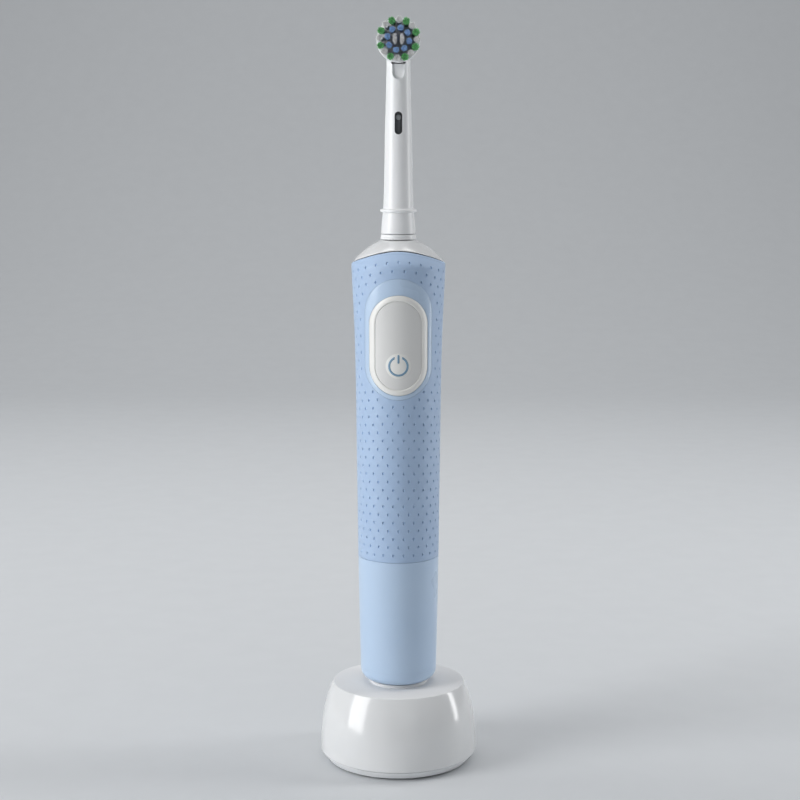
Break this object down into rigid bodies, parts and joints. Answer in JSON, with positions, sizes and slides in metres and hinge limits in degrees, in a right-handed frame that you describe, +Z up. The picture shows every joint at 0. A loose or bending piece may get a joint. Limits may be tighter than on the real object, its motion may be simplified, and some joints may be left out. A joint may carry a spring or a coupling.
{
  "type": "electric toothbrush on charger",
  "caption": "Cordless oscillating toothbrush with a dimpled grip, power button and round brush head, standing on a low round inductive charger.",
  "frame": {"origin": "where the common vertical axis of charger, handle and brush head meets the surface the charger stands on", "axes": "+Z up along the handle, -Y towards the front, where the button and the bristles face"},
  "size_m": [0.0506, 0.0492, 0.2384],
  "materials": {
    "white_gloss": "glossy moulded",
    "white": "satin moulded",
    "button": "satin moulded",
    "pad": "soft touch",
    "blue_grip": "dimpled soft grip",
    "light_blue": "smooth moulded",
    "dark": "dark moulded",
    "grey_rubber": "moulded",
    "steel": "drawn",
    "bronze": "sintered",
    "copper": "wound",
    "ferrite": "sintered",
    "board": "circuit board",
    "cell": "sleeved cell",
    "acetal": "natural acetal",
    "green_bristle": "nylon tufts",
    "white_bristle": "nylon tufts",
    "blue_bristle": "nylon tufts"
  },
  "bodies": {
    "charger": {"charger_shell": "white_gloss", "charger_base_plate": "white", "charger_foot_ring": "grey_rubber", "base_screw_1": "steel", "base_screw_2": "steel", "base_screw_3": "steel", "ferrite_core": "ferrite", "coil_bobbin": "acetal", "charger_coil": "copper", "charger_circuit_board": "board", "charger_capacitor": "dark", "cord_inlet_bush": "white"},
    "handle": {"handle_housing": "light_blue", "bottom_cap": "light_blue", "bottom_cap_seal": "grey_rubber", "charging_coil": "copper", "grip_sleeve": "blue_grip", "shoulder_cap": "white_gloss", "button_frame": "light_blue", "chassis": "white", "battery": "cell", "battery_spring": "steel", "battery_contact": "steel", "handle_circuit_board": "board", "switch_body": "dark", "motor_can": "steel", "gear_axle": "steel", "shaft_bearing_lower": "bronze", "shaft_bearing_upper": "bronze", "shaft_seal": "grey_rubber"},
    "button": {"power_button": "button", "button_pad": "pad"},
    "plunger": {"switch_plunger": "acetal"},
    "motor": {"motor_shaft": "steel", "motor_pinion": "bronze"},
    "gear": {"crank_gear": "acetal"},
    "shaft": {"drive_shaft": "steel", "rocker_arm": "acetal"},
    "head": {"head_neck": "white_gloss", "id_ring": "white", "carrier_axle": "steel"},
    "link": {"drive_link": "dark", "link_pivot_pin": "acetal", "shaft_clip": "steel"},
    "carrier": {"carrier_hub": "white", "carrier_plate": "white", "green_tufts": "green_bristle", "white_tufts": "white_bristle", "blue_tufts": "blue_bristle", "centre_tufts": "white_bristle"}
  },
  "joints": [
    {"name": "handle_lift", "type": "slide", "parent": "charger", "child": "handle", "axis": [0, 0, 1], "range_m": [0, 0.03]},
    {"name": "head_pull", "type": "slide", "parent": "handle", "child": "head", "axis": [0, 0, 1], "range_m": [0, 0.022]},
    {"name": "button_press", "type": "slide", "parent": "handle", "child": "button", "axis": [0, 1, 0], "range_m": [0, 0.0008], "stiffness_N_per_m": 600, "springref_m": -0.0005},
    {"name": "switch_press", "type": "slide", "parent": "handle", "child": "plunger", "axis": [0, 1, 0], "range_m": [0, 0.0008]},
    {"name": "motor_spin", "type": "hinge", "parent": "handle", "child": "motor", "pos_m": [0, 0.0026, 0.1472], "axis": [0, 0, 1], "continuous": true},
    {"name": "gear_spin", "type": "hinge", "parent": "handle", "child": "gear", "pos_m": [0, -0.0028, 0.1472], "axis": [0, 0, 1], "continuous": true},
    {"name": "shaft_rock", "type": "hinge", "parent": "handle", "child": "shaft", "pos_m": [0, 0, 0.1703], "axis": [0, 0, 1], "range_deg": [-22.5, 22.5]},
    {"name": "link_rock", "type": "hinge", "parent": "head", "child": "link", "pos_m": [0, 0, 0.1826], "axis": [0, 0, 1], "range_deg": [-22.5, 22.5]},
    {"name": "carrier_rock", "type": "hinge", "parent": "head", "child": "carrier", "pos_m": [0, 0, 0.2317], "axis": [0, 1, 0], "range_deg": [-22.5, 22.5]}
  ],
  "couplings": [
    {"joint": "switch_press", "follows": "button_press", "ratio": 1},
    {"joint": "motor_spin", "follows": "gear_spin", "ratio": -2},
    {"joint": "shaft_rock", "follows": "carrier_rock", "ratio": -1},
    {"joint": "link_rock", "follows": "carrier_rock", "ratio": -1}
  ]
}
